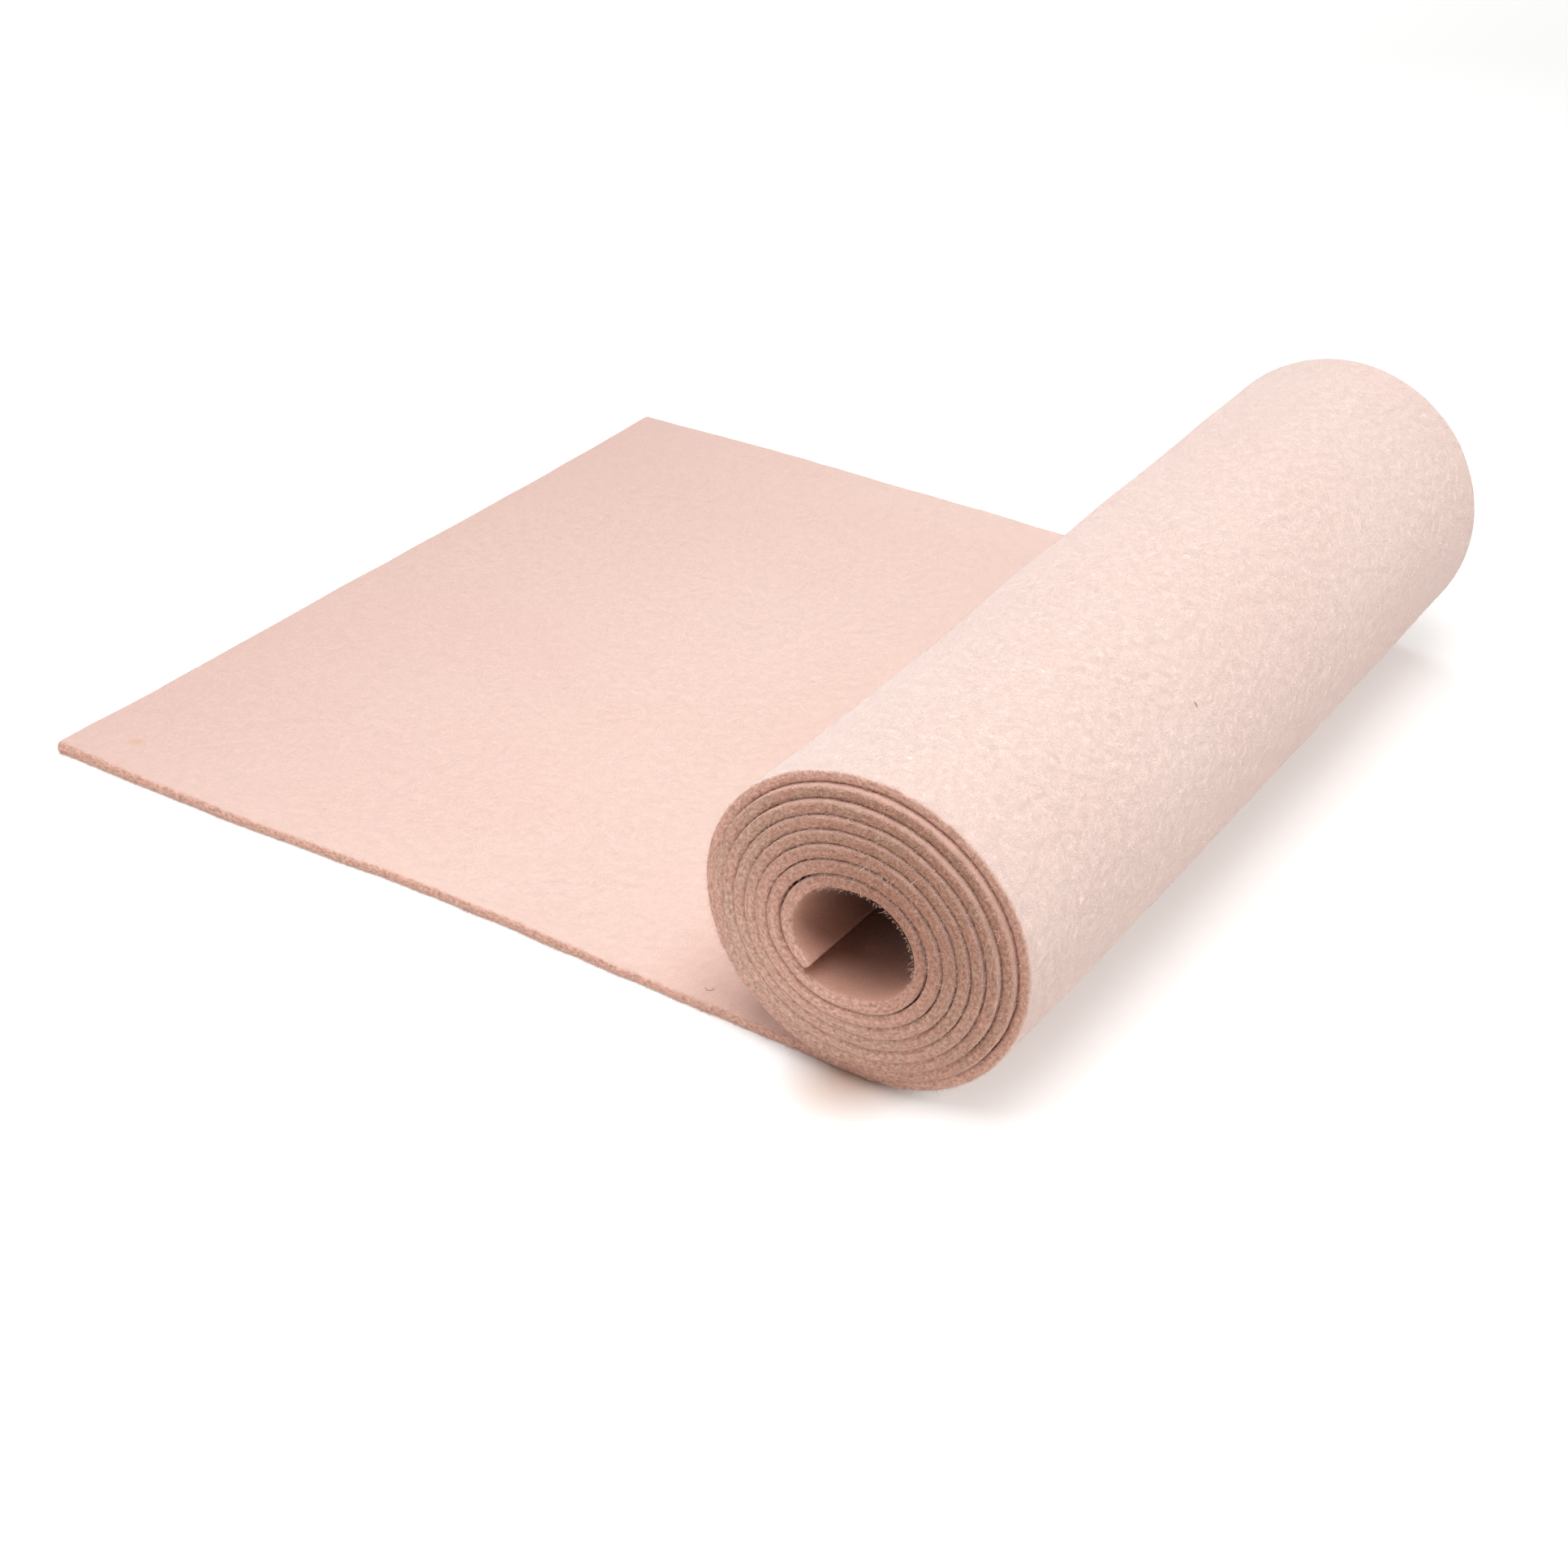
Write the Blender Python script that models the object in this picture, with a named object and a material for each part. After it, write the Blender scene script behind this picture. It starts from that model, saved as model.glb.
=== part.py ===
"""A roll of thick craft felt, with its free end drawn out flat.

The cloth is one rectangular sheet. Its free end lies flat on the ground and the rest is wound on
itself in almost eight turns, so the felt is one solid. The tables give millimetres and the model
is in metres. +Z is up, +Y runs along the roll, and +X points from the free end to the roll.
"""

import math

import bmesh
import bpy
import numpy as np

MM = 0.001

# Driving dimensions, in millimetres
SHEET_WIDTH = 300.0
SHEET_THICKNESS = 3.0
TAIL_LENGTH = 273.0
TURN_COUNT = 7.875

# Outer radius of the first turn at the near end face: at its foot, right, top and left
FIRST_TURN = (43.6, 45.4, 42.4, 44.7)

# One row for each turn from the outside in: the air between it and the next turn at its foot,
# right, top and left, and how far its near edge stands out towards -Y. The last row carries the
# curve on past the cloth's inner end.
TURNS = (
    (0.4, 0.4, 0.3, 0.5, 2.2),
    (0.4, 0.3, 0.4, 0.8, 4.3),
    (0.5, 0.4, 0.4, 0.6, 6.2),
    (0.6, 0.4, 0.4, 0.6, 7.4),
    (0.5, 0.4, 0.4, 0.4, 8.0),
    (0.3, 0.8, 1.1, 0.5, 8.8),
    (0.7, 1.2, 1.0, 1.3, 9.3),
    (1.8, 1.2, 1.0, 1.3, 9.2),
)

# The roll from its near end to its far end, where it sags less: share of the width, growth of
# the outer radius, rounding of the oval section, and shift of the roll's centre along X
ROLL_SECTIONS = (
    (0.00, 0.0, 0.0, 0.0),
    (0.25, 0.0, 0.4, 0.0),
    (0.50, 0.6, 0.7, -1.4),
    (0.75, 0.9, 1.2, -2.4),
    (1.00, 0.9, 1.3, -4.1),
)

# The tail's long edges, which aren't quite straight: share of its length from the free end, and
# how far the near edge and the far edge stray along Y
TAIL_EDGES = (
    (0.00, -0.5, -2.0),
    (0.25, -0.8, 0.3),
    (0.50, 1.3, -0.2),
    (0.75, -0.5, -1.2),
    (1.00, -2.2, -2.2),
)

# The free end: share of the width, and how far the edge strays along X
FREE_END = ((0.00, -0.6), (0.25, -0.4), (0.50, -0.1), (0.75, 0.9), (1.00, 0.2))

# Fineness of the mesh
TAIL_STEPS = 8
STEPS_PER_TURN = 28
SHARP_ANGLE = math.radians(40)

# Half the foot's flat facet, in turns
FOOT_TURN = 0.5 / STEPS_PER_TURN

FELT_COLOUR = (0.87, 0.64, 0.57, 1.0)
FELT_ROUGHNESS = 0.95


def smooth_curve(knots, values, at):
    """Values of a smooth curve through the knots: each knot's slope comes from its neighbours."""
    knots = np.asarray(knots, dtype=float)
    values = np.asarray(values, dtype=float)
    slopes = np.gradient(values, knots)
    span = np.clip(np.searchsorted(knots, at, side="right") - 1, 0, len(knots) - 2)
    width = knots[span + 1] - knots[span]
    t = (at - knots[span]) / width
    start = values[span] * (1 + 2 * t) * (1 - t) ** 2 + slopes[span] * width * t * (1 - t) ** 2
    end = values[span + 1] * t**2 * (3 - 2 * t) + slopes[span + 1] * width * t**2 * (t - 1)
    return start + end


def quarter_turn_radii():
    """Outer radius at each quarter turn, each turn lying inside the one before it."""
    radii = list(FIRST_TURN)
    for *air, _ in TURNS:
        radii += [radius - SHEET_THICKNESS - gap for radius, gap in zip(radii[-4:], air)]
    return radii


def roll_section(share):
    """Growth, rounding and centre shift of the roll at a share of its width."""
    table = np.array(ROLL_SECTIONS)
    return [smooth_curve(table[:, 0], table[:, column], share) for column in (1, 2, 3)]


def outer_radius(turn, share):
    """Distance of the wound cloth's outer face from the roll's centre, after a number of turns."""
    growth, rounding, _ = roll_section(share)
    radii = quarter_turn_radii()
    near_radius = smooth_curve(np.arange(len(radii)) / 4, radii, turn)
    return near_radius + growth * (1 - turn / TURN_COUNT) + rounding * np.cos(4 * math.pi * turn)


def wound_point(turn, share, depth):
    """Point of the wound cloth, depth under its outer face, after a number of turns."""
    angle = 2 * math.pi * turn
    radius = outer_radius(turn, share) - depth
    # The first turn's foot is a flat facet that lies on the ground
    centre_z = outer_radius(FOOT_TURN, share) * math.cos(2 * math.pi * FOOT_TURN)
    stand_out = smooth_curve(np.arange(len(TURNS)), [row[-1] for row in TURNS], turn)
    x = roll_section(share)[2] + radius * np.sin(angle)
    y = share * SHEET_WIDTH - stand_out
    z = centre_z - radius * np.cos(angle)
    return np.stack([x, y, z], axis=-1)


def tail_point(along, share, depth):
    """Point of the flat cloth, depth over its underside, at a share of the tail's length."""
    edges = np.array(TAIL_EDGES)
    near_y = smooth_curve(edges[:, 0], edges[:, 1], along)
    far_y = SHEET_WIDTH + smooth_curve(edges[:, 0], edges[:, 2], along)
    end = np.array(FREE_END)
    end_x = smooth_curve(end[:, 0], end[:, 1], share) - TAIL_LENGTH
    lift_off_x = roll_section(share)[2]
    x = end_x + (lift_off_x - end_x) * along
    y = near_y + (far_y - near_y) * share
    z = depth + 0 * x
    return np.stack([x, y, z], axis=-1)


def cloth_face(depth):
    """Grid of points of one face of the cloth: rows along it and columns across it."""
    shares = np.array([row[0] for row in ROLL_SECTIONS])
    along = np.linspace(0, 1, TAIL_STEPS + 1)
    wound_rows = int(TURN_COUNT * STEPS_PER_TURN + 0.5)
    turns = FOOT_TURN + np.arange(wound_rows) / STEPS_PER_TURN
    tail = tail_point(along[:, None], shares[None, :], depth)
    wound = wound_point(turns[:, None], shares[None, :], depth)
    return np.concatenate([tail, wound]) * MM


def bottom_centre(points):
    """Middle of the box round the points, at the height of its bottom."""
    low = points.min(axis=0)
    high = points.max(axis=0)
    return np.array([(low[0] + high[0]) / 2, (low[1] + high[1]) / 2, low[2]])


def cloth_mesh(name):
    """Closed mesh of the sheet, with its bottom centre at the origin."""
    outer = cloth_face(0.0)
    inner = cloth_face(SHEET_THICKNESS)
    origin = bottom_centre(np.concatenate([outer, inner]).reshape(-1, 3))
    rows, columns = outer.shape[:2]

    shape = bmesh.new()
    outer_verts = [[shape.verts.new(point - origin) for point in row] for row in outer]
    inner_verts = [[shape.verts.new(point - origin) for point in row] for row in inner]
    for i in range(rows - 1):
        for j in range(columns - 1):
            for grid in (outer_verts, inner_verts):
                shape.faces.new((grid[i][j], grid[i + 1][j], grid[i + 1][j + 1], grid[i][j + 1]))
        for j in (0, columns - 1):
            shape.faces.new(
                (outer_verts[i][j], outer_verts[i + 1][j], inner_verts[i + 1][j], inner_verts[i][j])
            )
    for i in (0, rows - 1):
        for j in range(columns - 1):
            shape.faces.new(
                (outer_verts[i][j], outer_verts[i][j + 1], inner_verts[i][j + 1], inner_verts[i][j])
            )
    bmesh.ops.recalc_face_normals(shape, faces=shape.faces)

    mesh = bpy.data.meshes.new(name)
    shape.to_mesh(mesh)
    shape.free()
    mesh.shade_smooth()
    mesh.set_sharp_from_angle(angle=SHARP_ANGLE)
    return mesh


def felt_material():
    """Matt wool felt in pale blush pink."""
    material = bpy.data.materials.new("felt")
    material.use_nodes = True
    shader = material.node_tree.nodes["Principled BSDF"]
    shader.inputs["Base Color"].default_value = FELT_COLOUR
    shader.inputs["Roughness"].default_value = FELT_ROUGHNESS
    shader.inputs["Metallic"].default_value = 0.0
    return material


def build_felt_roll():
    """The whole cloth, tail and roll, as one object."""
    mesh = cloth_mesh("felt_roll")
    mesh.materials.append(felt_material())
    bpy.context.scene.collection.objects.link(bpy.data.objects.new("felt_roll", mesh))


def main():
    for old in list(bpy.data.objects):
        bpy.data.objects.remove(old)
    build_felt_roll()


main()
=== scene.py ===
"""The looks of a roll of thick craft felt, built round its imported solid.

One fine mesh of the whole cloth takes the solid's place: the free end that lies flat, almost eight
turns and the inner end, with rounded cut edges. Loose fibres stand on its edges and faces. The
tables give millimetres, the scene is in metres, and "flat" means the sheet before it was rolled.
"""

import math

import bmesh
import bpy
import numpy as np
from mathutils import Matrix, Vector


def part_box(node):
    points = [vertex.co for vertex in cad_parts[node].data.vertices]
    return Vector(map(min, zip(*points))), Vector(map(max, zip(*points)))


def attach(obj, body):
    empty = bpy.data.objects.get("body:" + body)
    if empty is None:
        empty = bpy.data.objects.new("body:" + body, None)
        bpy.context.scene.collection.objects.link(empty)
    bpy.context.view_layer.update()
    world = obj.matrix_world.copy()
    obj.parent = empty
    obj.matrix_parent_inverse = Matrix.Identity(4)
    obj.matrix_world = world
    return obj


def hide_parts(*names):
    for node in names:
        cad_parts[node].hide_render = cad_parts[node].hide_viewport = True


MM = 0.001
NODE = "felt_roll"

# The cloth, with the solid's own dimensions, in millimetres
SHEET_WIDTH = 300.0
SHEET_THICKNESS = 3.0
SHEET_MIDDLE = SHEET_THICKNESS / 2
TAIL_LENGTH = 273.0
TURN_COUNT = 7.875

# Outer radius of the first turn at the near end face: at its foot, right, top and left
FIRST_TURN = (43.6, 45.4, 42.4, 44.7)

# One row for each turn from the outside in: the air between it and the next turn at its foot,
# right, top and left, and how far its near edge stands out towards -Y. The last row carries the
# curve on past the cloth's inner end.
TURNS = (
    (0.4, 0.4, 0.3, 0.5, 2.2),
    (0.4, 0.3, 0.4, 0.8, 4.3),
    (0.5, 0.4, 0.4, 0.6, 6.2),
    (0.6, 0.4, 0.4, 0.6, 7.4),
    (0.5, 0.4, 0.4, 0.4, 8.0),
    (0.3, 0.8, 1.1, 0.5, 8.8),
    (0.7, 1.2, 1.0, 1.3, 9.3),
    (1.8, 1.2, 1.0, 1.3, 9.2),
)

# The roll from its near end to its far end: share of the width, growth of the outer radius,
# rounding of the oval section, and shift of the roll's centre along X
ROLL_SECTIONS = (
    (0.00, 0.0, 0.0, 0.0),
    (0.25, 0.0, 0.4, 0.0),
    (0.50, 0.6, 0.7, -1.4),
    (0.75, 0.9, 1.2, -2.4),
    (1.00, 0.9, 1.3, -4.1),
)

# The tail's long edges: share of its length from the free end, and how far the near edge and the
# far edge stray along Y
TAIL_EDGES = (
    (0.00, -0.5, -2.0),
    (0.25, -0.8, 0.3),
    (0.50, 1.3, -0.2),
    (0.75, -0.5, -1.2),
    (1.00, -2.2, -2.2),
)

# The free end: share of the width, and how far the edge strays along X
FREE_END = ((0.00, -0.6), (0.25, -0.4), (0.50, -0.1), (0.75, 0.9), (1.00, 0.2))

# Half the flat spot under the roll's foot, in turns, and how softly its ends round off
FOOT_TURN = 0.5 / 28
FOOT_SOFTNESS = 0.0015

# A cut edge in section, from the middle of the cut to the outer face and to the inner face: how
# far in from the edge, how deep under the face, and how much it looks like cut felt
EDGE_PROFILE = (
    (0.00, 1.50, 1.0),
    (0.04, 0.80, 1.0),
    (0.15, 0.38, 0.8),
    (0.36, 0.14, 0.4),
    (0.75, 0.03, 0.15),
    (1.40, 0.00, 0.0),
)
INNER_PROFILE = (
    (0.00, 1.50, 1.0),
    (0.08, 0.90, 1.0),
    (0.26, 0.46, 0.9),
    (0.55, 0.18, 0.5),
    (0.95, 0.04, 0.15),
    (1.60, 0.00, 0.0),
)

# The cut's brown reaches further round the lips of the wound turns, partly the cut's own colour
# and partly painted shade in the seams between turns: powers that lift its look on the inner and
# the outer lips, and the turn from which the inner lips have it
LIP_CUT_AND_SHADE = (0.4, 0.65)
INNER_LIP_START = 0.1

# The second material, without sheen, is on faces that look cut or have painted shade inside the
# roll by more than this share
DULL_FROM = 0.15

# Fineness of the mesh, and of what is worked out along the sheet
ROW_SPACING = 1.55
COLUMN_COUNT = 24
LENGTH_STEPS = 4001
BOX_STEPS = 3000

# Short steps along the sheet and through it, to work out directions
LENGTH_STEP = 0.5
DEPTH_STEP = 0.1

# Unevenness of the soft cloth: shortest and longest wave, and height. The ripples of the lips
# take the sheet as this wide. Each place has its own seed.
FACE_SWELL = (28.0, 90.0, 0.12)
EDGE_STRAY = (7.0, 40.0, 0.08)
LIP_RIPPLE = (5.0, 14.0, 0.12)
LIP_RIPPLE_WIDTH = 40.0
WAVE_COUNT = 14
OUTER_FACE_SEED = 11
INNER_FACE_SEED = 12
NEAR_EDGE_SEED = 13
FAR_EDGE_SEED = 14
LIP_SEED = 15

# A face swells freely where nothing presses on it, and by this share elsewhere. It changes over a
# stretch of the sheet, which starts a little past the foot on the roll's outside.
PRESSED = 0.3
FREE_FADE = 20.0
FOOT_CLEARANCE = 5.0

# The cut lips of neighbouring turns fluff out and nearly meet: share of the air that each fills,
# the most that it swells, how far in from the edge the swelling starts to fade and ends, and over
# how much of a turn it starts
LIP_SHARE = 0.42
LIP_LIMIT = 0.35
LIP_FADE = (1.0, 7.0)
LIP_START = 0.02

# The near corner of the free end is a little thicker: by how much, and how far the swelling goes
CORNER_SWELL = 1.0
CORNER_REACH = 26.0

# How much painted shade the cloth gets inside the roll: at the edge of its inner and outer face,
# and from there inwards by the distance from the edge and the share of the rest
PAINTED_SHADE_AT_EDGE = (0.4, 0.28)
PAINTED_SHADE_DISTANCE = (1.0, 5.0, 31.0)
PAINTED_SHADE_SHARE = (0.0, 0.2, 1.0)

# Painted shade on the cut: most at a place on each turn, counted in turns from its foot, and how
# much after a number of turns from the outside
SHADE_PLACE = 0.4
SHADE_TURNS = (0.1, 0.25, 0.5, 0.9, 1.1)
SHADE_SHARE = (0.0, 0.6, 0.15, 0.15, 1.0)

# Loose fibres: the random seed of each piece, and how many fibres it has
NEAR_FUZZ = (21, 19000)
FAR_FUZZ = (24, 9000)
END_FUZZ = (22, 1500)
STRAY_FUZZ = (23, 900)
TAIL_FUZZ = (31, 13000)
ROLL_FUZZ = (32, 19000)
ROLL_FUZZ_2 = (33, 14000)

# Their shortest and mean length, and their radius at the root
EDGE_FIBRE = (0.35, 0.85, 0.04)
END_FIBRE = (0.35, 0.85, 0.038)
FACE_FIBRE = (0.35, 0.75, 0.025)
STRAY_FIBRE = (1.3, 2.2, 0.055)

# A fibre's form: the corners of its section, its middle's radius in parts of the root's, the parts
# of its length before and after its middle, and how far each may stray aside
FIBRE_CORNERS = 3
FIBRE_TAPER = 0.8
FIBRE_PARTS = (0.5, 0.4)
FIBRE_STRAY = (0.2, 0.5)

# Fibres on a cut edge: how deep their roots lie, how far they keep from the faces and from the
# floor, the shares of them on its outer lip, on its inner lip and anywhere, and a lip's width
ROOT_DEPTH = 0.2
FACE_GAP = 0.05
FLOOR_GAP = 0.3
LIP_FUZZ_SHARES = (0.4, 0.25, 0.35)
LIP_WIDTH = 0.6

# How much they point away from the edge, towards the nearer face, and at random
FUZZ_OUT = 0.9
FUZZ_LEAN = 0.8
FUZZ_SPREAD = 0.55
STRAY_SPREAD = 0.8

# Tufts of stray fibres on the near end of the roll, and how deep under the outer face
TUFT_TURNS = (0.03, 0.05, 0.06, 0.93, 0.95, 1.02, 1.05, 1.94, 2.02)
TUFT_DEPTH = 0.2

# Fibres on a face: how deep their roots lie, how far they keep from the edges in parts of the
# width, how much they lift, and where they start on the tail and after the foot on the roll
FACE_ROOT_DEPTH = 0.1
FACE_MARGIN = 0.003
FACE_LIFT = (0.05, 0.5)
TAIL_FUZZ_START = 2.0
ROLL_FUZZ_START = 12.0

# A curled hair on the tail's top near the roll: its place on the flat sheet, the curl's half
# width, its radius, the angles between which it bends, how much wider it is at its start and
# end, how high it lies in half widths, and the fineness of its mesh
CURL_PLACE = (224.8, 6.0)
CURL_HALF_WIDTH = 0.9
CURL_RADIUS = 0.08
CURL_BEND = (-2.9, 0.8)
CURL_WIDTHS = (1.5, 0.9)
CURL_LIFT = 0.25
CURL_POINTS = 16
CURL_SIDES = 5
CURL_TONE = (0.36, 0.20, 0.18, 1.0)

# Colours of the felt's face: between its fibres and on them, where it drifts to cream and by how
# much, and the painted shade inside the roll, first warm and then deep
FELT_ROSE = (0.69, 0.445, 0.375, 1.0)
FELT_PALE = (0.85, 0.665, 0.605, 1.0)
FELT_CREAM = (0.775, 0.59, 0.515, 1.0)
CREAM_SHARE = 0.35
PAINTED_WARM_SHADE = (0.86, 0.67, 0.58, 1.0)
PAINTED_DEEP_SHADE = (0.30, 0.20, 0.17, 1.0)
DEEP_FROM = 0.45
INNER_SHADE = 0.9

# Colours of cut felt and its painted shade, and the stretches of the sheet, in metres from its free
# end, over which the beige patches come in and go out again
CUT_BROWN = (0.46, 0.262, 0.195, 1.0)
CUT_ROSE = (0.88, 0.53, 0.435, 1.0)
CUT_BEIGE = (0.84, 0.58, 0.47, 1.0)
CUT_SHADE = (0.60, 0.52, 0.47, 1.0)
ROSY_OUTSIDE = (0.50, 0.60)
ROSY_INSIDE = (1.38, 1.50)

# Colours of loose fibres on the faces and on the edges
FIBRE_PALE = (0.80, 0.60, 0.53, 1.0)
FIBRE_WARM = (0.84, 0.62, 0.52, 1.0)

# Fibres drawn in the face: their waves per metre along and across them, the ways that they run,
# the shift from one way to the next, and the range of the noise that is stretched. Then how often
# in a metre and how far, in metres, they wander.
STRAND_WAVES = (850.0, 2500.0, 1900.0)
STRAND_ANGLES = (-0.75, 0.5, 1.9)
STRAND_SHIFT = 0.7
STRAND_RANGE = (0.5, 0.72)
WANDER_WAVES = 260.0
STRAND_WANDER = 0.004

# Clouds on the cloth: waves per metre, detail, and the range of the noise that is stretched
CLUMPS = (210.0, 3.0, 0.38, 0.62)
GRAIN = (2500.0, 2.0, 0.32, 0.68)
DRIFT = (14.0, 2.0, 0.35, 0.65)
PATCHES = (70.0, 2.0, 0.4, 0.6)

# Streaks in the cut: waves per metre along, across and through the sheet, and their range
CUT_WAVES = (800.0, 1100.0, 1500.0)
CUT_RANGE = (0.33, 0.67)

# Weights of the fibres, clumps and grain in the colour and in the height, how strong they are on
# the roll's outer face and on the tail's top, and the tone round which the colour varies
TONE_WEIGHTS = (0.35, 0.03, 0.6)
HEIGHT_WEIGHTS = (0.6, 0.2, 0.35)
NAP = (1.1, 0.45)
MEAN_TONE = 0.42
BUMP_HEIGHT = 0.00036
BUMP_STRENGTH = 0.8

# Gloss of the surfaces
FELT_ROUGHNESS = 0.95
FIBRE_ROUGHNESS = 0.8
FLOOR_ROUGHNESS = 0.9
SPECULAR = 0.2
SHEEN = 0.75
SHEEN_ROUGHNESS = 0.45
SHEEN_TINT = (1.0, 0.91, 0.87, 1.0)

# Painted light and shade that multiply the face's colour, with their reach in metres: a painted
# highlight that makes the roll's outside paler, painted shade at the free end, and painted shade on
# the tail's near corner by the foot of the roll
PAINTED_ROLL_HIGHLIGHT = (1.02, 1.065, 1.09, 1.0)
END_SHADE = (0.84, 0.78, 0.78, 1.0)
END_SHADE_REACH = 0.15
FOOT_SHADE = (0.87, 0.72, 0.68, 1.0)
FOOT_SHADE_START = (0.20, 0.262)
FOOT_SHADE_END = (0.275, 0.285)
FOOT_SHADE_WIDTH = 0.09

# Two small marks: a pale yellow stain on the tail's top and a dark fleck on the roll, each with
# its centre on the flat sheet and its half sizes, and the part of a mark where it is full
STAIN = ((18.2, 13.9, 3.0), (3.6, 3.0, 2.0))
STAIN_TONE = (0.96, 0.91, 0.76, 1.0)
FLECK = ((368.7, 104.5, 0.0), (1.3, 0.6, 1.0))
FLECK_TONE = (0.22, 0.19, 0.11, 1.0)
MARK_FULL = 0.35

# The camera of the photograph: place in the row frame, direction, and focal length over a
# 36 mm wide frame
CAMERA_PLACE = (0.3914, -0.6377, 0.4176)
CAMERA_YAW = math.radians(31.55)
CAMERA_PITCH = math.radians(30.70)
CAMERA_ROLL = math.radians(1.90)
CAMERA_LENS = 64.61
CAMERA_SENSOR = 36.0
CAMERA_RANGE = (0.01, 50.0)

# The floor, in metres: its colour and its painted warm shadow by the foot of the roll, its glow
# near and far, which is missing by the foot and so paints a shadow there, the distances from the
# foot over which each comes in, and how much of the distance past the roll's ends counts
FLOOR_SIZE = 12.0
FLOOR_Z = -0.0001
FLOOR_WHITE = (0.80, 0.797, 0.793, 1.0)
PAINTED_FLOOR_SHADOW = (0.70, 0.53, 0.44, 1.0)
PAINTED_SHADOW_REACH = (0.0, 0.018)
FLOOR_GLOW = 0.235
GLOW_REACH = (0.005, 0.024)
FAR_GLOW = 0.8
FAR_REACH = (0.5, 1.7)
PAST_END_SHARE = 0.7
BACKDROP_RADIUS = 5.5

# The light: even light from all round, and soft panels with their place, size, power and colour
WHITE = (1.0, 1.0, 1.0, 1.0)
WORLD_STRENGTH = 0.14
WHITE_LIGHT = (1.0, 1.0, 1.0)
WARM_LIGHT = (1.0, 0.94, 0.90)
PANELS = (
    ("overhead", (0.1, -0.25, 1.0), 0.8, 10.9, WHITE_LIGHT),
    ("right", (1.7, 0.1, 0.7), 1.2, 11.4, WARM_LIGHT),
    ("right_back", (1.2, 1.3, 1.2), 1.2, 4.7, WHITE_LIGHT),
    ("left_back", (-1.4, 0.8, 1.1), 1.2, 17.8, WHITE_LIGHT),
    ("front", (-0.6, -1.8, 0.8), 1.2, 8.8, WHITE_LIGHT),
)


def smooth_curve(knots, values, at):
    """Values of a smooth curve through the knots: each knot's slope comes from its neighbours."""
    knots = np.asarray(knots, dtype=float)
    values = np.asarray(values, dtype=float)
    slopes = np.gradient(values, knots)
    span = np.clip(np.searchsorted(knots, at, side="right") - 1, 0, len(knots) - 2)
    width = knots[span + 1] - knots[span]
    t = (at - knots[span]) / width
    start = values[span] * (1 + 2 * t) * (1 - t) ** 2 + slopes[span] * width * t * (1 - t) ** 2
    end = values[span + 1] * t**2 * (3 - 2 * t) + slopes[span + 1] * width * t**2 * (t - 1)
    return start + end


def quarter_turn_radii():
    """Outer radius at each quarter turn, each turn lying inside the one before it."""
    radii = list(FIRST_TURN)
    for *air, _ in TURNS:
        radii += [radius - SHEET_THICKNESS - gap for radius, gap in zip(radii[-4:], air)]
    return radii


def roll_section(share):
    """Growth, rounding and centre shift of the roll at a share of its width."""
    table = np.array(ROLL_SECTIONS)
    return [smooth_curve(table[:, 0], table[:, column], share) for column in (1, 2, 3)]


def outer_radius(turn, share):
    """Distance of the wound cloth's outer face from the roll's centre, after a number of turns."""
    growth, rounding, _ = roll_section(share)
    radii = quarter_turn_radii()
    near_radius = smooth_curve(np.arange(len(radii)) / 4, radii, turn)
    return near_radius + growth * (1 - turn / TURN_COUNT) + rounding * np.cos(4 * math.pi * turn)


def foot_cosine(angle):
    """Cosine of the angle, softly levelled off round each foot to make the flat spot."""
    level = math.cos(2 * math.pi * FOOT_TURN)
    over = (np.cos(angle) - level) / FOOT_SOFTNESS
    return level - FOOT_SOFTNESS * np.logaddexp(0, -over)


def wound_point(turn, share, depth):
    """Point of the wound cloth, depth under its outer face, after a number of turns."""
    angle = 2 * math.pi * turn
    radius = outer_radius(turn, share) - depth
    centre_z = outer_radius(FOOT_TURN, share) * math.cos(2 * math.pi * FOOT_TURN)
    stand_out = smooth_curve(np.arange(len(TURNS)), [row[-1] for row in TURNS], turn)
    x = roll_section(share)[2] + radius * np.sin(angle)
    y = share * SHEET_WIDTH - stand_out
    z = centre_z - radius * foot_cosine(angle)
    return np.stack([x, y, z], axis=-1)


def tail_point(along, share, depth):
    """Point of the flat cloth, depth over its underside, at a share of the tail's length."""
    edges = np.array(TAIL_EDGES)
    near_y = smooth_curve(edges[:, 0], edges[:, 1], along)
    far_y = SHEET_WIDTH + smooth_curve(edges[:, 0], edges[:, 2], along)
    end = np.array(FREE_END)
    end_x = smooth_curve(end[:, 0], end[:, 1], share) - TAIL_LENGTH
    lift_off_x = roll_section(share)[2]
    x = end_x + (lift_off_x - end_x) * along
    y = near_y + (far_y - near_y) * share
    return np.stack([x, y, depth + 0 * x], axis=-1)


def length_table():
    """Numbers of turns, and the cloth's length from its free end at each of them."""
    turns = np.linspace(0, TURN_COUNT, LENGTH_STEPS)
    middle = wound_point(turns, 0.5, SHEET_MIDDLE)
    steps = np.linalg.norm(np.diff(middle, axis=0), axis=1)
    return turns, TAIL_LENGTH + np.concatenate([[0], np.cumsum(steps)])


TURN_KNOTS, LENGTH_KNOTS = length_table()
SHEET_LENGTH = float(LENGTH_KNOTS[-1])


def length_at(turn):
    """Length from the free end after a number of turns."""
    return np.interp(turn, TURN_KNOTS, LENGTH_KNOTS)


def turn_at(length):
    """Number of turns at a length from the free end."""
    return np.interp(length, LENGTH_KNOTS, TURN_KNOTS)


def cloth_point(length, share, depth):
    """Point of the cloth at a length from its free end, a share of its width and a depth."""
    length, share, depth = np.broadcast_arrays(length, share, depth)
    on_tail = (length < TAIL_LENGTH)[..., None]
    tail = tail_point(length / TAIL_LENGTH, share, depth)
    wound = wound_point(turn_at(length), share, depth)
    return np.where(on_tail, tail, wound)


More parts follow.
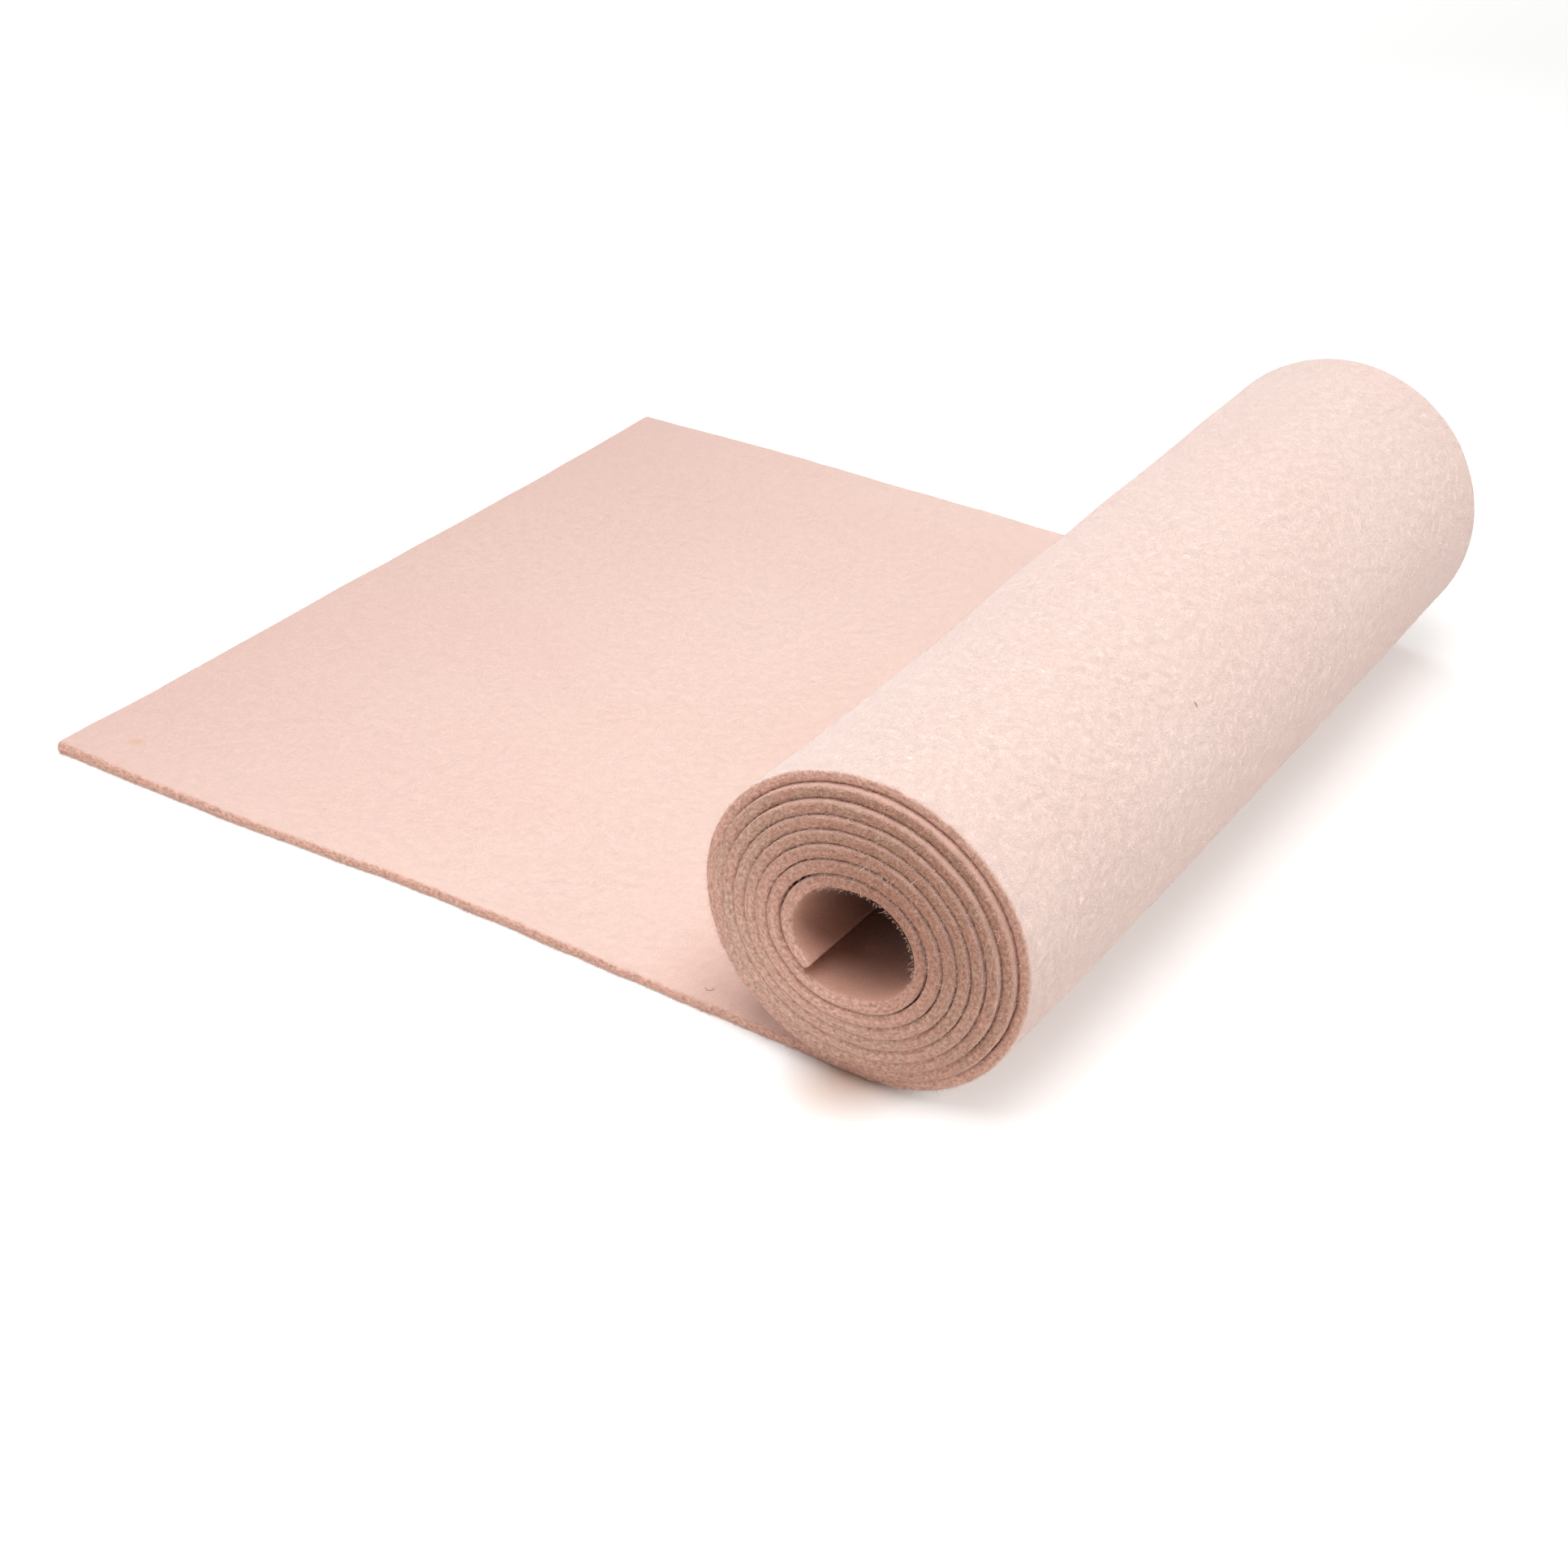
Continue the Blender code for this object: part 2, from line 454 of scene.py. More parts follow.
def row_shift():
    """Shift from the tables' frame to the row frame, which has the solid's box round its origin."""
    low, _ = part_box(NODE)
    lengths = np.linspace(0, SHEET_LENGTH, BOX_STEPS)[:, None, None]
    shares = np.array([row[0] for row in ROLL_SECTIONS])[None, :, None]
    depths = np.array([0, SHEET_THICKNESS])[None, None, :]
    points = cloth_point(lengths, shares, depths).reshape(-1, 3)
    return np.array([low.x / MM - points[:, 0].min(), low.y / MM - points[:, 1].min(), 0.0])


def waves(seed, shortest, longest, height, *places):
    """Smooth unevenness: waves of random directions and lengths, added up."""
    rng = np.random.default_rng(seed)
    total = 0
    for _ in range(WAVE_COUNT):
        direction = rng.normal(size=len(places))
        direction /= np.linalg.norm(direction)
        pitch = 2 * math.pi / rng.uniform(shortest, longest)
        phase = rng.uniform(0, 2 * math.pi)
        total = total + np.sin(pitch * sum(d * p for d, p in zip(direction, places)) + phase)
    return height * total / math.sqrt(WAVE_COUNT / 2)


def cloth_rows():
    """Each row's length from the free end, the share of its thickness, and its look of cut felt."""
    inset, depth, cut = np.array(EDGE_PROFILE[1:]).T
    fullness = 1 - depth / SHEET_MIDDLE
    count = round((SHEET_LENGTH - 2 * inset[-1]) / ROW_SPACING)
    middle = np.linspace(inset[-1], SHEET_LENGTH - inset[-1], count)[1:-1]
    ones = np.ones_like(middle)
    lengths = np.concatenate([inset, middle, SHEET_LENGTH - inset[::-1]])
    fullness = np.concatenate([fullness, ones, fullness[::-1]])
    return lengths, fullness, np.concatenate([cut, 0 * ones, cut[::-1]])


def half_ring(profile):
    """One face of the sheet's section, from the near edge to the far edge: share of the width,
    depth under the face, look of cut felt, and 1 at the near edge and -1 at the far edge."""
    inset, depth, cut = np.array(profile).T
    edge = inset / SHEET_WIDTH
    middle = np.linspace(edge[-1], 1 - edge[-1], COLUMN_COUNT + 1)[1:-1]
    zeros = np.zeros_like(middle)
    ones = np.ones_like(edge)
    share = np.concatenate([edge, middle, 1 - edge[::-1]])
    under = np.concatenate([depth, zeros, depth[::-1]])
    look = np.concatenate([cut, zeros, cut[::-1]])
    side = np.concatenate([ones, zeros, -ones])
    return np.stack([share, under, look, side])


def cloth_ring():
    """The sheet's section across its width as a closed ring of the four values of a half ring,
    with the depth counted from the outer face all the way round."""
    outer = half_ring(EDGE_PROFILE)
    inner = half_ring(INNER_PROFILE)[:, -2:0:-1]
    inner[1] = SHEET_THICKNESS - inner[1]
    return np.concatenate([outer, inner], axis=1)


def free_face(length, inner):
    """How freely a face of the cloth can swell: fully where nothing lies on it or under it."""
    if inner:
        last_turn = length_at(TURN_COUNT - 1)
        places = [TAIL_LENGTH - FREE_FADE, TAIL_LENGTH, last_turn, last_turn + FREE_FADE]
        return np.interp(length, places, [1, PRESSED, PRESSED, 1])
    past_foot = TAIL_LENGTH + FOOT_CLEARANCE
    second_turn = length_at(1)
    places = [past_foot, past_foot + FREE_FADE, second_turn - FREE_FADE, second_turn]
    return np.interp(length, places, [0, 1, 1, PRESSED])


def painted_shade_inside(length, across, inner):
    """Share of painted shade on the cloth inside the roll: 0 outside it, and 1 far in from its
    ends.
    """
    second_turn = length_at(1)
    wound = np.interp(length, [second_turn, second_turn + FREE_FADE], [0, 1])
    from_edge = np.minimum(across, SHEET_WIDTH - across)
    at_edge = np.where(inner, *PAINTED_SHADE_AT_EDGE)
    return wound * (at_edge + (1 - at_edge) * np.interp(from_edge, PAINTED_SHADE_DISTANCE, PAINTED_SHADE_SHARE))


def cut_shade(length):
    """Painted shade on the cut: most on the roll's upper right, seen from the near end."""
    turn = turn_at(length)
    wound = np.interp(turn, SHADE_TURNS, SHADE_SHARE)
    return wound * (0.5 + 0.5 * np.cos(2 * math.pi * (turn - SHADE_PLACE)))


def lip_swell(length, share, inner):
    """How far a face swells towards the turn beside it, close to the cut edges."""
    turn = turn_at(length)
    if inner:
        air = outer_radius(turn, share) - SHEET_THICKNESS - outer_radius(turn + 1, share)
        ends = [TURN_COUNT - 1 - LIP_START, TURN_COUNT - 1 + LIP_START]
        beside = np.interp(turn, ends, [1, 0])
    else:
        air = outer_radius(turn - 1, share) - SHEET_THICKNESS - outer_radius(turn, share)
        beside = np.interp(turn, [1 - LIP_START, 1 + LIP_START], [0, 1])
    from_edge = np.minimum(share, 1 - share) * SHEET_WIDTH
    near_edge = np.interp(from_edge, LIP_FADE, [1, 0])
    ripple = 1 - np.abs(waves(LIP_SEED, *LIP_RIPPLE, length, LIP_RIPPLE_WIDTH * share))
    on_roll = length > TAIL_LENGTH
    return np.clip(air * LIP_SHARE, 0, LIP_LIMIT) * beside * near_edge * ripple * on_roll


def corner_swell(length, across):
    """How much thicker the cloth is at the near corner of its free end."""
    return CORNER_SWELL * np.exp(-(length**2 + across**2) / CORNER_REACH**2)


def edge_stray(length, side):
    """How far the near edge, where side is 1, or the far edge strays along Y."""
    near = waves(NEAR_EDGE_SEED, *EDGE_STRAY, length)
    far = waves(FAR_EDGE_SEED, *EDGE_STRAY, length)
    return np.where(side > 0, near, far) * np.abs(side)


def mesh_object(name, points, faces, material):
    """A smooth-shaded object of these points, in millimetres, and faces."""
    mesh = bpy.data.meshes.new(name)
    mesh.from_pydata((points * MM).tolist(), [], faces)
    mesh.validate()
    mesh.shade_smooth()
    mesh.materials.append(material)
    piece = bpy.data.objects.new(name, mesh)
    bpy.context.scene.collection.objects.link(piece)
    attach(piece, "root")
    return piece


def add_values(piece, name, kind, values):
    """Values at each point of a piece, which its materials read by their name."""
    layer = piece.data.attributes.new(name, kind, "POINT")
    field = "vector" if kind == "FLOAT_VECTOR" else "value"
    layer.data.foreach_set(field, values.astype(np.float32).ravel())


def ring_faces(rows, columns):
    """Faces that join neighbouring rings of points into a tube."""
    i, j = np.meshgrid(np.arange(rows - 1), np.arange(columns), indexing="ij")
    k = (j + 1) % columns
    quads = [i * columns + j, (i + 1) * columns + j, (i + 1) * columns + k, i * columns + k]
    return np.stack(quads, axis=-1).reshape(-1, 4).tolist()


def end_faces(start, columns, flip):
    """Faces that close a flattened ring: a ladder between its two faces."""
    half = columns // 2
    faces = []
    for j in range(half):
        quad = [j, j + 1, (columns - j - 1) % columns, (columns - j) % columns]
        quad = list(dict.fromkeys(quad))
        faces.append([start + v for v in (quad[::-1] if flip else quad)])
    return faces


def cut_look(look, end_look, turn, inner):
    """How much each point looks like cut felt, with more of it round the wound turns' lips, partly
    as painted shade in the seams.
    """
    inner_power, outer_power = LIP_CUT_AND_SHADE
    lifted = np.where(inner & (turn > INNER_LIP_START), look**inner_power, look)
    lifted = np.where(~inner & (turn > 1), look**outer_power, lifted)
    return np.maximum(lifted, end_look[:, None])


def build_cloth(outside, inside, shift):
    """The whole felt sheet in one closed mesh, with its place on the flat sheet at each point.
    Its first material is for the open faces, and the other for the cuts and the wound turns."""
    lengths, fullness, end_look = cloth_rows()
    share, depth, look, side = cloth_ring()
    length = lengths[:, None] + 0 * share
    share = share + 0 * length
    inner = depth[None, :] > SHEET_MIDDLE
    under = SHEET_MIDDLE + (depth - SHEET_MIDDLE) * fullness[:, None]
    across = share * SHEET_WIDTH

    swell_out = waves(OUTER_FACE_SEED, *FACE_SWELL, length, across) * free_face(length, False)
    swell_out += lip_swell(length, share, False)
    swell_in = waves(INNER_FACE_SEED, *FACE_SWELL, length, across) * free_face(length, True)
    swell_in += lip_swell(length, share, True) + corner_swell(length, across)
    from_middle = np.abs(depth - SHEET_MIDDLE) / SHEET_MIDDLE
    swollen = under + np.where(inner, swell_in, -swell_out) * from_middle
    points = cloth_point(length, share, swollen) + shift
    points[..., 1] += edge_stray(length, side)
    points[..., 2] = np.maximum(points[..., 2], 0.0)

    rows, columns = length.shape
    faces = ring_faces(rows, columns)
    faces += end_faces(0, columns, False) + end_faces((rows - 1) * columns, columns, True)
    cloth = mesh_object("felt_cloth", points.reshape(-1, 3), faces, outside)

    cut = cut_look(look, end_look, turn_at(length), inner)
    # A share of painted shade inside the roll, which the felt material reads
    painted_inner_shade = painted_shade_inside(length, across, inner)
    add_values(cloth, "flat", "FLOAT_VECTOR", np.stack([length, across, under], axis=-1) * MM)
    add_values(cloth, "cut", "FLOAT", cut)
    add_values(cloth, "shade", "FLOAT", cut_shade(length))
    add_values(cloth, "painted_inner_shade", "FLOAT", painted_inner_shade)

    dull = (np.maximum(cut, painted_inner_shade) > DULL_FROM).ravel()
    cloth.data.materials.append(inside)
    starts = [face[0] for face in faces]
    cloth.data.polygons.foreach_set("material_index", dull[starts].astype(np.int32))
    return cloth


def unit(vectors):
    """The vectors at length 1."""
    return vectors / np.linalg.norm(vectors, axis=-1, keepdims=True)


def outward(length, share, depth):
    """Direction square to the cloth, away from its underside or the roll's outer face."""
    above = cloth_point(length, share, depth - DEPTH_STEP)
    return unit(above - cloth_point(length, share, depth + DEPTH_STEP))


def onward(length, share, depth):
    """Direction along the cloth, away from its free end."""
    before = cloth_point(length - LENGTH_STEP, share, depth)
    return unit(cloth_point(length + LENGTH_STEP, share, depth) - before)


def fibre_piece(name, roots, directions, kind, rng, material):
    """Thin curved fibres of a kind, each a closed tube with a bend and a pointed tip."""
    count = len(roots)
    shortest, mean, radius = kind
    reach = (shortest + rng.exponential(mean - shortest, count))[:, None]
    directions = unit(directions)
    aside = unit(np.cross(directions, rng.normal(size=(count, 3))))
    across = np.cross(directions, aside)
    first_part, second_part = FIBRE_PARTS
    first_stray, second_stray = FIBRE_STRAY
    bend = rng.uniform(0.0, first_stray, (count, 1))
    middle = roots + directions * reach * first_part + aside * reach * bend
    bend = rng.uniform(-second_stray, second_stray, (count, 1))
    tip = middle + directions * reach * second_part + aside * reach * bend
    for joint in (roots, middle, tip):
        joint[:, 2] = np.maximum(joint[:, 2], 2 * radius)

    points = []
    for centre, thickness in ((roots, radius), (middle, radius * FIBRE_TAPER)):
        for corner in range(FIBRE_CORNERS):
            angle = 2 * math.pi * corner / FIBRE_CORNERS
            points.append(centre + thickness * (math.cos(angle) * aside + math.sin(angle) * across))
    points.append(tip)
    per_fibre = len(points)
    points = np.stack(points, axis=1).reshape(-1, 3)

    pattern = [list(range(FIBRE_CORNERS))[::-1]]
    for corner in range(FIBRE_CORNERS):
        following = (corner + 1) % FIBRE_CORNERS
        above = FIBRE_CORNERS + corner
        above_following = FIBRE_CORNERS + following
        pattern.append([corner, following, above_following, above])
        pattern.append([above, above_following, 2 * FIBRE_CORNERS])
    starts = range(0, count * per_fibre, per_fibre)
    faces = [[start + v for v in face] for start in starts for face in pattern]
    return mesh_object(name, points, faces, material)


def edge_fuzz(name, fuzz, edge, material, shift):
    """Short fibres that stand out of a cut edge, most of them on its lips: edge is 1 or -1."""
    seed, count = fuzz
    rng = np.random.default_rng(seed)
    length = rng.uniform(0, SHEET_LENGTH, count)
    side = np.full(count, edge)
    share = (1 - side) / 2
    in_from_face = FACE_GAP + LIP_WIDTH * rng.uniform(0, 1, count) ** 2
    lips = [in_from_face, SHEET_THICKNESS - in_from_face]
    depth = rng.uniform(FACE_GAP, SHEET_THICKNESS - FACE_GAP, count)
    depth = np.choose(rng.choice(3, count, p=LIP_FUZZ_SHARES), [*lips, depth])
    roots = cloth_point(length, share, depth) + shift
    roots[:, 1] += edge_stray(length, side) + side * ROOT_DEPTH
    lean = (1 - depth / SHEET_MIDDLE)[:, None]
    directions = outward(length, share, depth) * lean * FUZZ_LEAN
    directions += rng.normal(size=(count, 3)) * FUZZ_SPREAD
    directions[:, 1] -= side * FUZZ_OUT
    return fibre_piece(name, roots, directions, EDGE_FIBRE, rng, material)


def end_fuzz(material, shift):
    """Short fibres that stand out of the sheet's free end."""
    seed, count = END_FUZZ
    rng = np.random.default_rng(seed)
    share = rng.uniform(0, 1, count)
    depth = rng.uniform(FLOOR_GAP, SHEET_THICKNESS - FACE_GAP, count)
    roots = cloth_point(np.full(count, ROOT_DEPTH), share, depth) + shift
    directions = rng.normal(size=(count, 3)) * FUZZ_SPREAD
    directions[:, 0] -= FUZZ_OUT
    return fibre_piece("end_fuzz", roots, directions, END_FIBRE, rng, material)


def face_fuzz(name, fuzz, stretch, depth, material, shift):
    """Fibres that lie on a face of the cloth along a stretch of it, their tips a little off it."""
    seed, count = fuzz
    rng = np.random.default_rng(seed)
    length = rng.uniform(*stretch, count)
    share = rng.uniform(FACE_MARGIN, 1 - FACE_MARGIN, count)
    depths = np.full(count, depth)
    out = outward(length, share, depths) * (1 if depth == 0 else -1)
    along = onward(length, share, depths)
    across = np.cross(out, along)
    angle = rng.uniform(0, 2 * math.pi, (count, 1))
    lift = rng.uniform(*FACE_LIFT, (count, 1))
    directions = np.cos(angle) * along + np.sin(angle) * across + lift * out
    roots = cloth_point(length, share, depths) + shift - out * FACE_ROOT_DEPTH
    return fibre_piece(name, roots, directions, FACE_FIBRE, rng, material)


def stray_fibres(material, shift):
    """Longer loose fibres on both long edges, with a few tufts on the roll's near end."""
    seed, count = STRAY_FUZZ
    rng = np.random.default_rng(seed)
    length = rng.uniform(0, SHEET_LENGTH, count)
    side = rng.choice([1.0, -1.0], count)
    depth = rng.uniform(FACE_GAP, SHEET_THICKNESS - FACE_GAP, count)
    tuft = len(TUFT_TURNS)
    length[:tuft] = length_at(TUFT_TURNS)
    side[:tuft] = 1.0
    depth[:tuft] = TUFT_DEPTH
    share = (1 - side) / 2
    roots = cloth_point(length, share, depth) + shift
    roots[:, 1] += edge_stray(length, side) + side * ROOT_DEPTH
    directions = rng.normal(size=(count, 3)) * STRAY_SPREAD
    directions[:, 1] -= side * FUZZ_OUT
    return fibre_piece("stray_fibres", roots, directions, STRAY_FIBRE, rng, material)


def curled_hair(material, shift):
    """One curled hair that lies on the tail's top: a thin tube bent to a hook."""
    length, across = CURL_PLACE
    centre = cloth_point(length, across / SHEET_WIDTH, SHEET_THICKNESS) + shift
    bend = np.linspace(*CURL_BEND, CURL_POINTS)
    steps = np.stack([np.cos(bend), np.sin(bend), CURL_LIFT + 0 * bend], axis=-1)
    middle = centre + CURL_HALF_WIDTH * steps * np.linspace(*CURL_WIDTHS, CURL_POINTS)[:, None]
    turns = 2 * math.pi * np.arange(CURL_SIDES) / CURL_SIDES
    out = unit(steps * (1, 1, 0))
    ring = out[:, None, :] * np.cos(turns)[:, None] + np.array([0, 0, 1]) * np.sin(turns)[:, None]
    points = (middle[:, None, :] + CURL_RADIUS * ring).reshape(-1, 3)
    faces = ring_faces(CURL_POINTS, CURL_SIDES)
    faces += [list(range(CURL_SIDES))[::-1], list(range(len(points) - CURL_SIDES, len(points)))]
    return mesh_object("curled_hair", points, faces, material)


def shader_material(name, roughness, specular):
    """A new node material, with its node tree and its main shader."""
    material = bpy.data.materials.new(name)
    material.use_nodes = True
    shader = material.node_tree.nodes["Principled BSDF"]
    shader.inputs["Roughness"].default_value = roughness
    shader.inputs["Specular IOR Level"].default_value = specular
    return material, material.node_tree, shader


def node(tree, kind, inputs, output=0, **settings):
    """A new node with these settings, and inputs that are values or other nodes' outputs."""
    made = tree.nodes.new(kind)
    for name, value in settings.items():
        setattr(made, name, value)
    for socket, value in inputs.items():
        if isinstance(value, bpy.types.NodeSocket):
            tree.links.new(value, made.inputs[socket])
        else:
            made.inputs[socket].default_value = value
    return made.outputs[output]


def maths(tree, operation, *values):
    """A value worked out from others."""
    return node(tree, "ShaderNodeMath", dict(enumerate(values)), operation=operation)


def vector_maths(tree, operation, *vectors):
    """A vector worked out from others."""
    return node(tree, "ShaderNodeVectorMath", dict(enumerate(vectors)), operation=operation)


def vector_length(tree, vector):
    """The length of a vector."""
    return node(tree, "ShaderNodeVectorMath", {0: vector}, 1, operation="LENGTH")


def coordinates(tree, vector):
    """The three coordinates of a vector."""
    parts = node(tree, "ShaderNodeSeparateXYZ", {0: vector}).node
    return list(parts.outputs)


def piece_value(tree, name):
    """A value that the piece has at each of its points."""
    return node(tree, "ShaderNodeAttribute", {}, 2, attribute_name=name)


def weighted_sum(tree, values, weights):
    """The sum of values, each times its weight."""
    total = 0.0
    for value, weight in zip(values, weights):
        total = maths(tree, "MULTIPLY_ADD", value, weight, total)
    return total


def mixed(tree, share, first, second, blend="MIX"):
    """A colour mixed from two."""
    inputs = {0: share, 6: first, 7: second}
    return node(tree, "ShaderNodeMix", inputs, 2, data_type="RGBA", blend_type=blend)


def spread(tree, value, low, high, to_low=0.0, to_high=1.0):
    """A value stretched from one range to another, and held inside it."""
    inputs = {"Value": value, 1: low, 2: high, 3: to_low, 4: to_high}
    return node(tree, "ShaderNodeMapRange", inputs)


def clouds(tree, place, cloud, seed=0.0):
    """Cloudy noise over the cloth, stretched to its full range."""
    wave_rate, detail, low, high = cloud
    inputs = {"Vector": place, "Location": (seed, 2 * seed, 3 * seed)}
    moved = node(tree, "ShaderNodeMapping", inputs)
    inputs = {"Vector": moved, "Scale": wave_rate, "Detail": detail, "Roughness": 0.6}
    return spread(tree, node(tree, "ShaderNodeTexNoise", inputs), low, high)


def spot(tree, place, centre, size):
    """Share of a soft spot on the flat sheet: its centre and half sizes are in millimetres."""
    from_centre = vector_maths(tree, "SUBTRACT", place, [c * MM for c in centre])
    scaled = vector_maths(tree, "DIVIDE", from_centre, [h * MM for h in size])
    return spread(tree, vector_length(tree, scaled), 1.0, MARK_FULL)


def strands(tree, place, angle):
    """Fibres that lie in the surface at an angle: noise drawn out along them."""
    seed = STRAND_SHIFT * angle
    turned = node(tree, "ShaderNodeVectorRotate", {"Vector": place, "Angle": angle})
    inputs = {"Vector": turned, "Location": (seed, -seed, seed), "Scale": STRAND_WAVES}
    drawn_out = node(tree, "ShaderNodeMapping", inputs)
    inputs = {"Vector": drawn_out, "Scale": 1.0, "Detail": 2.0, "Roughness": 0.55}
    return node(tree, "ShaderNodeTexNoise", inputs)


def matted_fibres(tree, place):
    """The face's texture in three parts: lying fibres, clumps and grain."""
    inputs = {"Vector": place, "Scale": WANDER_WAVES, "Detail": 1.0}
    wander = node(tree, "ShaderNodeTexNoise", inputs, 1)
    wander = vector_maths(tree, "SUBTRACT", wander, (0.5, 0.5, 0.5))
    inputs = {0: wander, "Scale": STRAND_WANDER}
    wander = node(tree, "ShaderNodeVectorMath", inputs, operation="SCALE")
    warped = vector_maths(tree, "ADD", place, wander)

    layers = [strands(tree, warped, angle) for angle in STRAND_ANGLES]
    lying = maths(tree, "MAXIMUM", maths(tree, "MAXIMUM", layers[0], layers[1]), layers[2])
    lying = spread(tree, lying, *STRAND_RANGE)
    return lying, clouds(tree, place, CLUMPS), clouds(tree, warped, GRAIN)


def face_colour(tree, place, depth, texture, nap):
    """The open face: pale fibres over rose, with slow drifts to cream, and a painted highlight that
    makes the roll paler.
    """
    tone = weighted_sum(tree, texture, TONE_WEIGHTS)
    tone = maths(tree, "MULTIPLY_ADD", maths(tree, "SUBTRACT", tone, MEAN_TONE), nap, MEAN_TONE)
    face = mixed(tree, tone, FELT_ROSE, FELT_PALE)
    drift = clouds(tree, place, DRIFT, seed=3.1)
    face = mixed(tree, maths(tree, "MULTIPLY", drift, CREAM_SHARE), face, FELT_CREAM)
    # A painted highlight that makes the roll's outer face paler
    on_roll = spread(tree, depth, 0.0, SHEET_THICKNESS * MM, 1.0, 0.0)
    return mixed(tree, on_roll, face, PAINTED_ROLL_HIGHLIGHT, "MULTIPLY")


def shaded_face(tree, face, length, across):
    """The face's colour with painted shade inside the roll, at the free end and by the roll's near
    foot.
    """
    painted_inner_shade = piece_value(tree, "painted_inner_shade")
    face = mixed(tree, spread(tree, painted_inner_shade, 0.0, DEEP_FROM), face, PAINTED_WARM_SHADE, "MULTIPLY")
    face = mixed(tree, spread(tree, painted_inner_shade, DEEP_FROM, 1.0, 0.0, INNER_SHADE), face, PAINTED_DEEP_SHADE)
    end_shade = spread(tree, length, 0.0, END_SHADE_REACH, 1.0, 0.0)
    face = mixed(tree, end_shade, face, END_SHADE, "MULTIPLY")
    by_foot = spread(tree, length, *FOOT_SHADE_START)
    near_edge = spread(tree, across, 0.0, FOOT_SHADE_WIDTH, 1.0, 0.0)
    before_roll = spread(tree, length, *FOOT_SHADE_END, 1.0, 0.0)
    foot_shade = maths(tree, "MULTIPLY", maths(tree, "MULTIPLY", by_foot, near_edge), before_roll)
    return mixed(tree, foot_shade, face, FOOT_SHADE, "MULTIPLY")


def marked_face(tree, face, place):
    """The face's colour with the stain and the fleck."""
    face = mixed(tree, spot(tree, place, *STAIN), face, STAIN_TONE, "MULTIPLY")
    return mixed(tree, spot(tree, place, *FLECK), face, FLECK_TONE)


def cut_colour(tree, place, length):
    """The cut felt: streaks of brown and rose, with beige patches on all but the outermost and
    innermost turns, and painted shade on the roll's upper right."""
    layered = node(tree, "ShaderNodeMapping", {"Vector": place, "Scale": CUT_WAVES})
    inputs = {"Vector": layered, "Scale": 1.0, "Detail": 3.0, "Roughness": 0.65}
    streaks = spread(tree, node(tree, "ShaderNodeTexNoise", inputs), *CUT_RANGE)
    past_outside = spread(tree, length, *ROSY_OUTSIDE)
    before_inside = spread(tree, length, *ROSY_INSIDE, 1.0, 0.0)
    beige = maths(tree, "MULTIPLY", past_outside, before_inside)
    patches = maths(tree, "MULTIPLY", clouds(tree, place, PATCHES, seed=5.3), beige)
    cut = mixed(tree, streaks, CUT_BROWN, mixed(tree, patches, CUT_ROSE, CUT_BEIGE))
    return mixed(tree, piece_value(tree, "shade"), cut, CUT_SHADE, "MULTIPLY")


def felt_material(name, specular, sheen):
    """Matted wool fibres in pale blush pink, browner where the felt is cut."""
    material, tree, shader = shader_material(name, FELT_ROUGHNESS, specular)
    shader.inputs["Sheen Weight"].default_value = sheen
    shader.inputs["Sheen Roughness"].default_value = SHEEN_ROUGHNESS
    shader.inputs["Sheen Tint"].default_value = SHEEN_TINT

    place = node(tree, "ShaderNodeAttribute", {}, 1, attribute_name="flat")
    length, across, depth = coordinates(tree, place)
    texture = matted_fibres(tree, place)
    nap = spread(tree, depth, 0.0, SHEET_THICKNESS * MM, *NAP)
    face = face_colour(tree, place, depth, texture, nap)
    face = shaded_face(tree, face, length, across)
    face = marked_face(tree, face, place)
    cut = cut_colour(tree, place, length)
    colour = mixed(tree, piece_value(tree, "cut"), face, cut)
    tree.links.new(colour, shader.inputs["Base Color"])

    height = maths(tree, "MULTIPLY", weighted_sum(tree, texture, HEIGHT_WEIGHTS), nap)
    inputs = {"Height": height, "Strength": BUMP_STRENGTH, "Distance": BUMP_HEIGHT}
    tree.links.new(node(tree, "ShaderNodeBump", inputs), shader.inputs["Normal"])
    return material


def fibre_material(name, tone):
    """Single wool fibres of one tone."""
    material, _, shader = shader_material(name, FIBRE_ROUGHNESS, 0.0)
    shader.inputs["Base Color"].default_value = tone
    return material


def floor_material(foot):
    """Near white, with a painted warm shadow by the foot of the roll, and a glow that starts a
    little away from it and so leaves a painted shadow by the foot.
    """
    material, tree, shader = shader_material("floor_white", FLOOR_ROUGHNESS, SPECULAR)
    shader.inputs["Emission Color"].default_value = WHITE
    place = node(tree, "ShaderNodeNewGeometry", {})
    x, y, _ = coordinates(tree, vector_maths(tree, "SUBTRACT", place, foot))
    past_end = maths(tree, "SUBTRACT", maths(tree, "ABSOLUTE", y), SHEET_WIDTH * MM / 2)
    past_end = maths(tree, "MULTIPLY", maths(tree, "MAXIMUM", past_end, 0.0), PAST_END_SHARE)
    from_foot = node(tree, "ShaderNodeCombineXYZ", {0: x, 1: past_end, 2: 0.0})
    distance = vector_length(tree, from_foot)
    painted_shadow = spread(tree, distance, *PAINTED_SHADOW_REACH, 1.0, 0.0)
    tree.links.new(mixed(tree, painted_shadow, FLOOR_WHITE, PAINTED_FLOOR_SHADOW), shader.inputs["Base Color"])
    near_glow = spread(tree, distance, *GLOW_REACH, 0.0, FLOOR_GLOW)
    far_glow = spread(tree, distance, *FAR_REACH, 0.0, FAR_GLOW)
    glow = maths(tree, "ADD", near_glow, far_glow)
    tree.links.new(glow, shader.inputs["Emission Strength"])
    return material


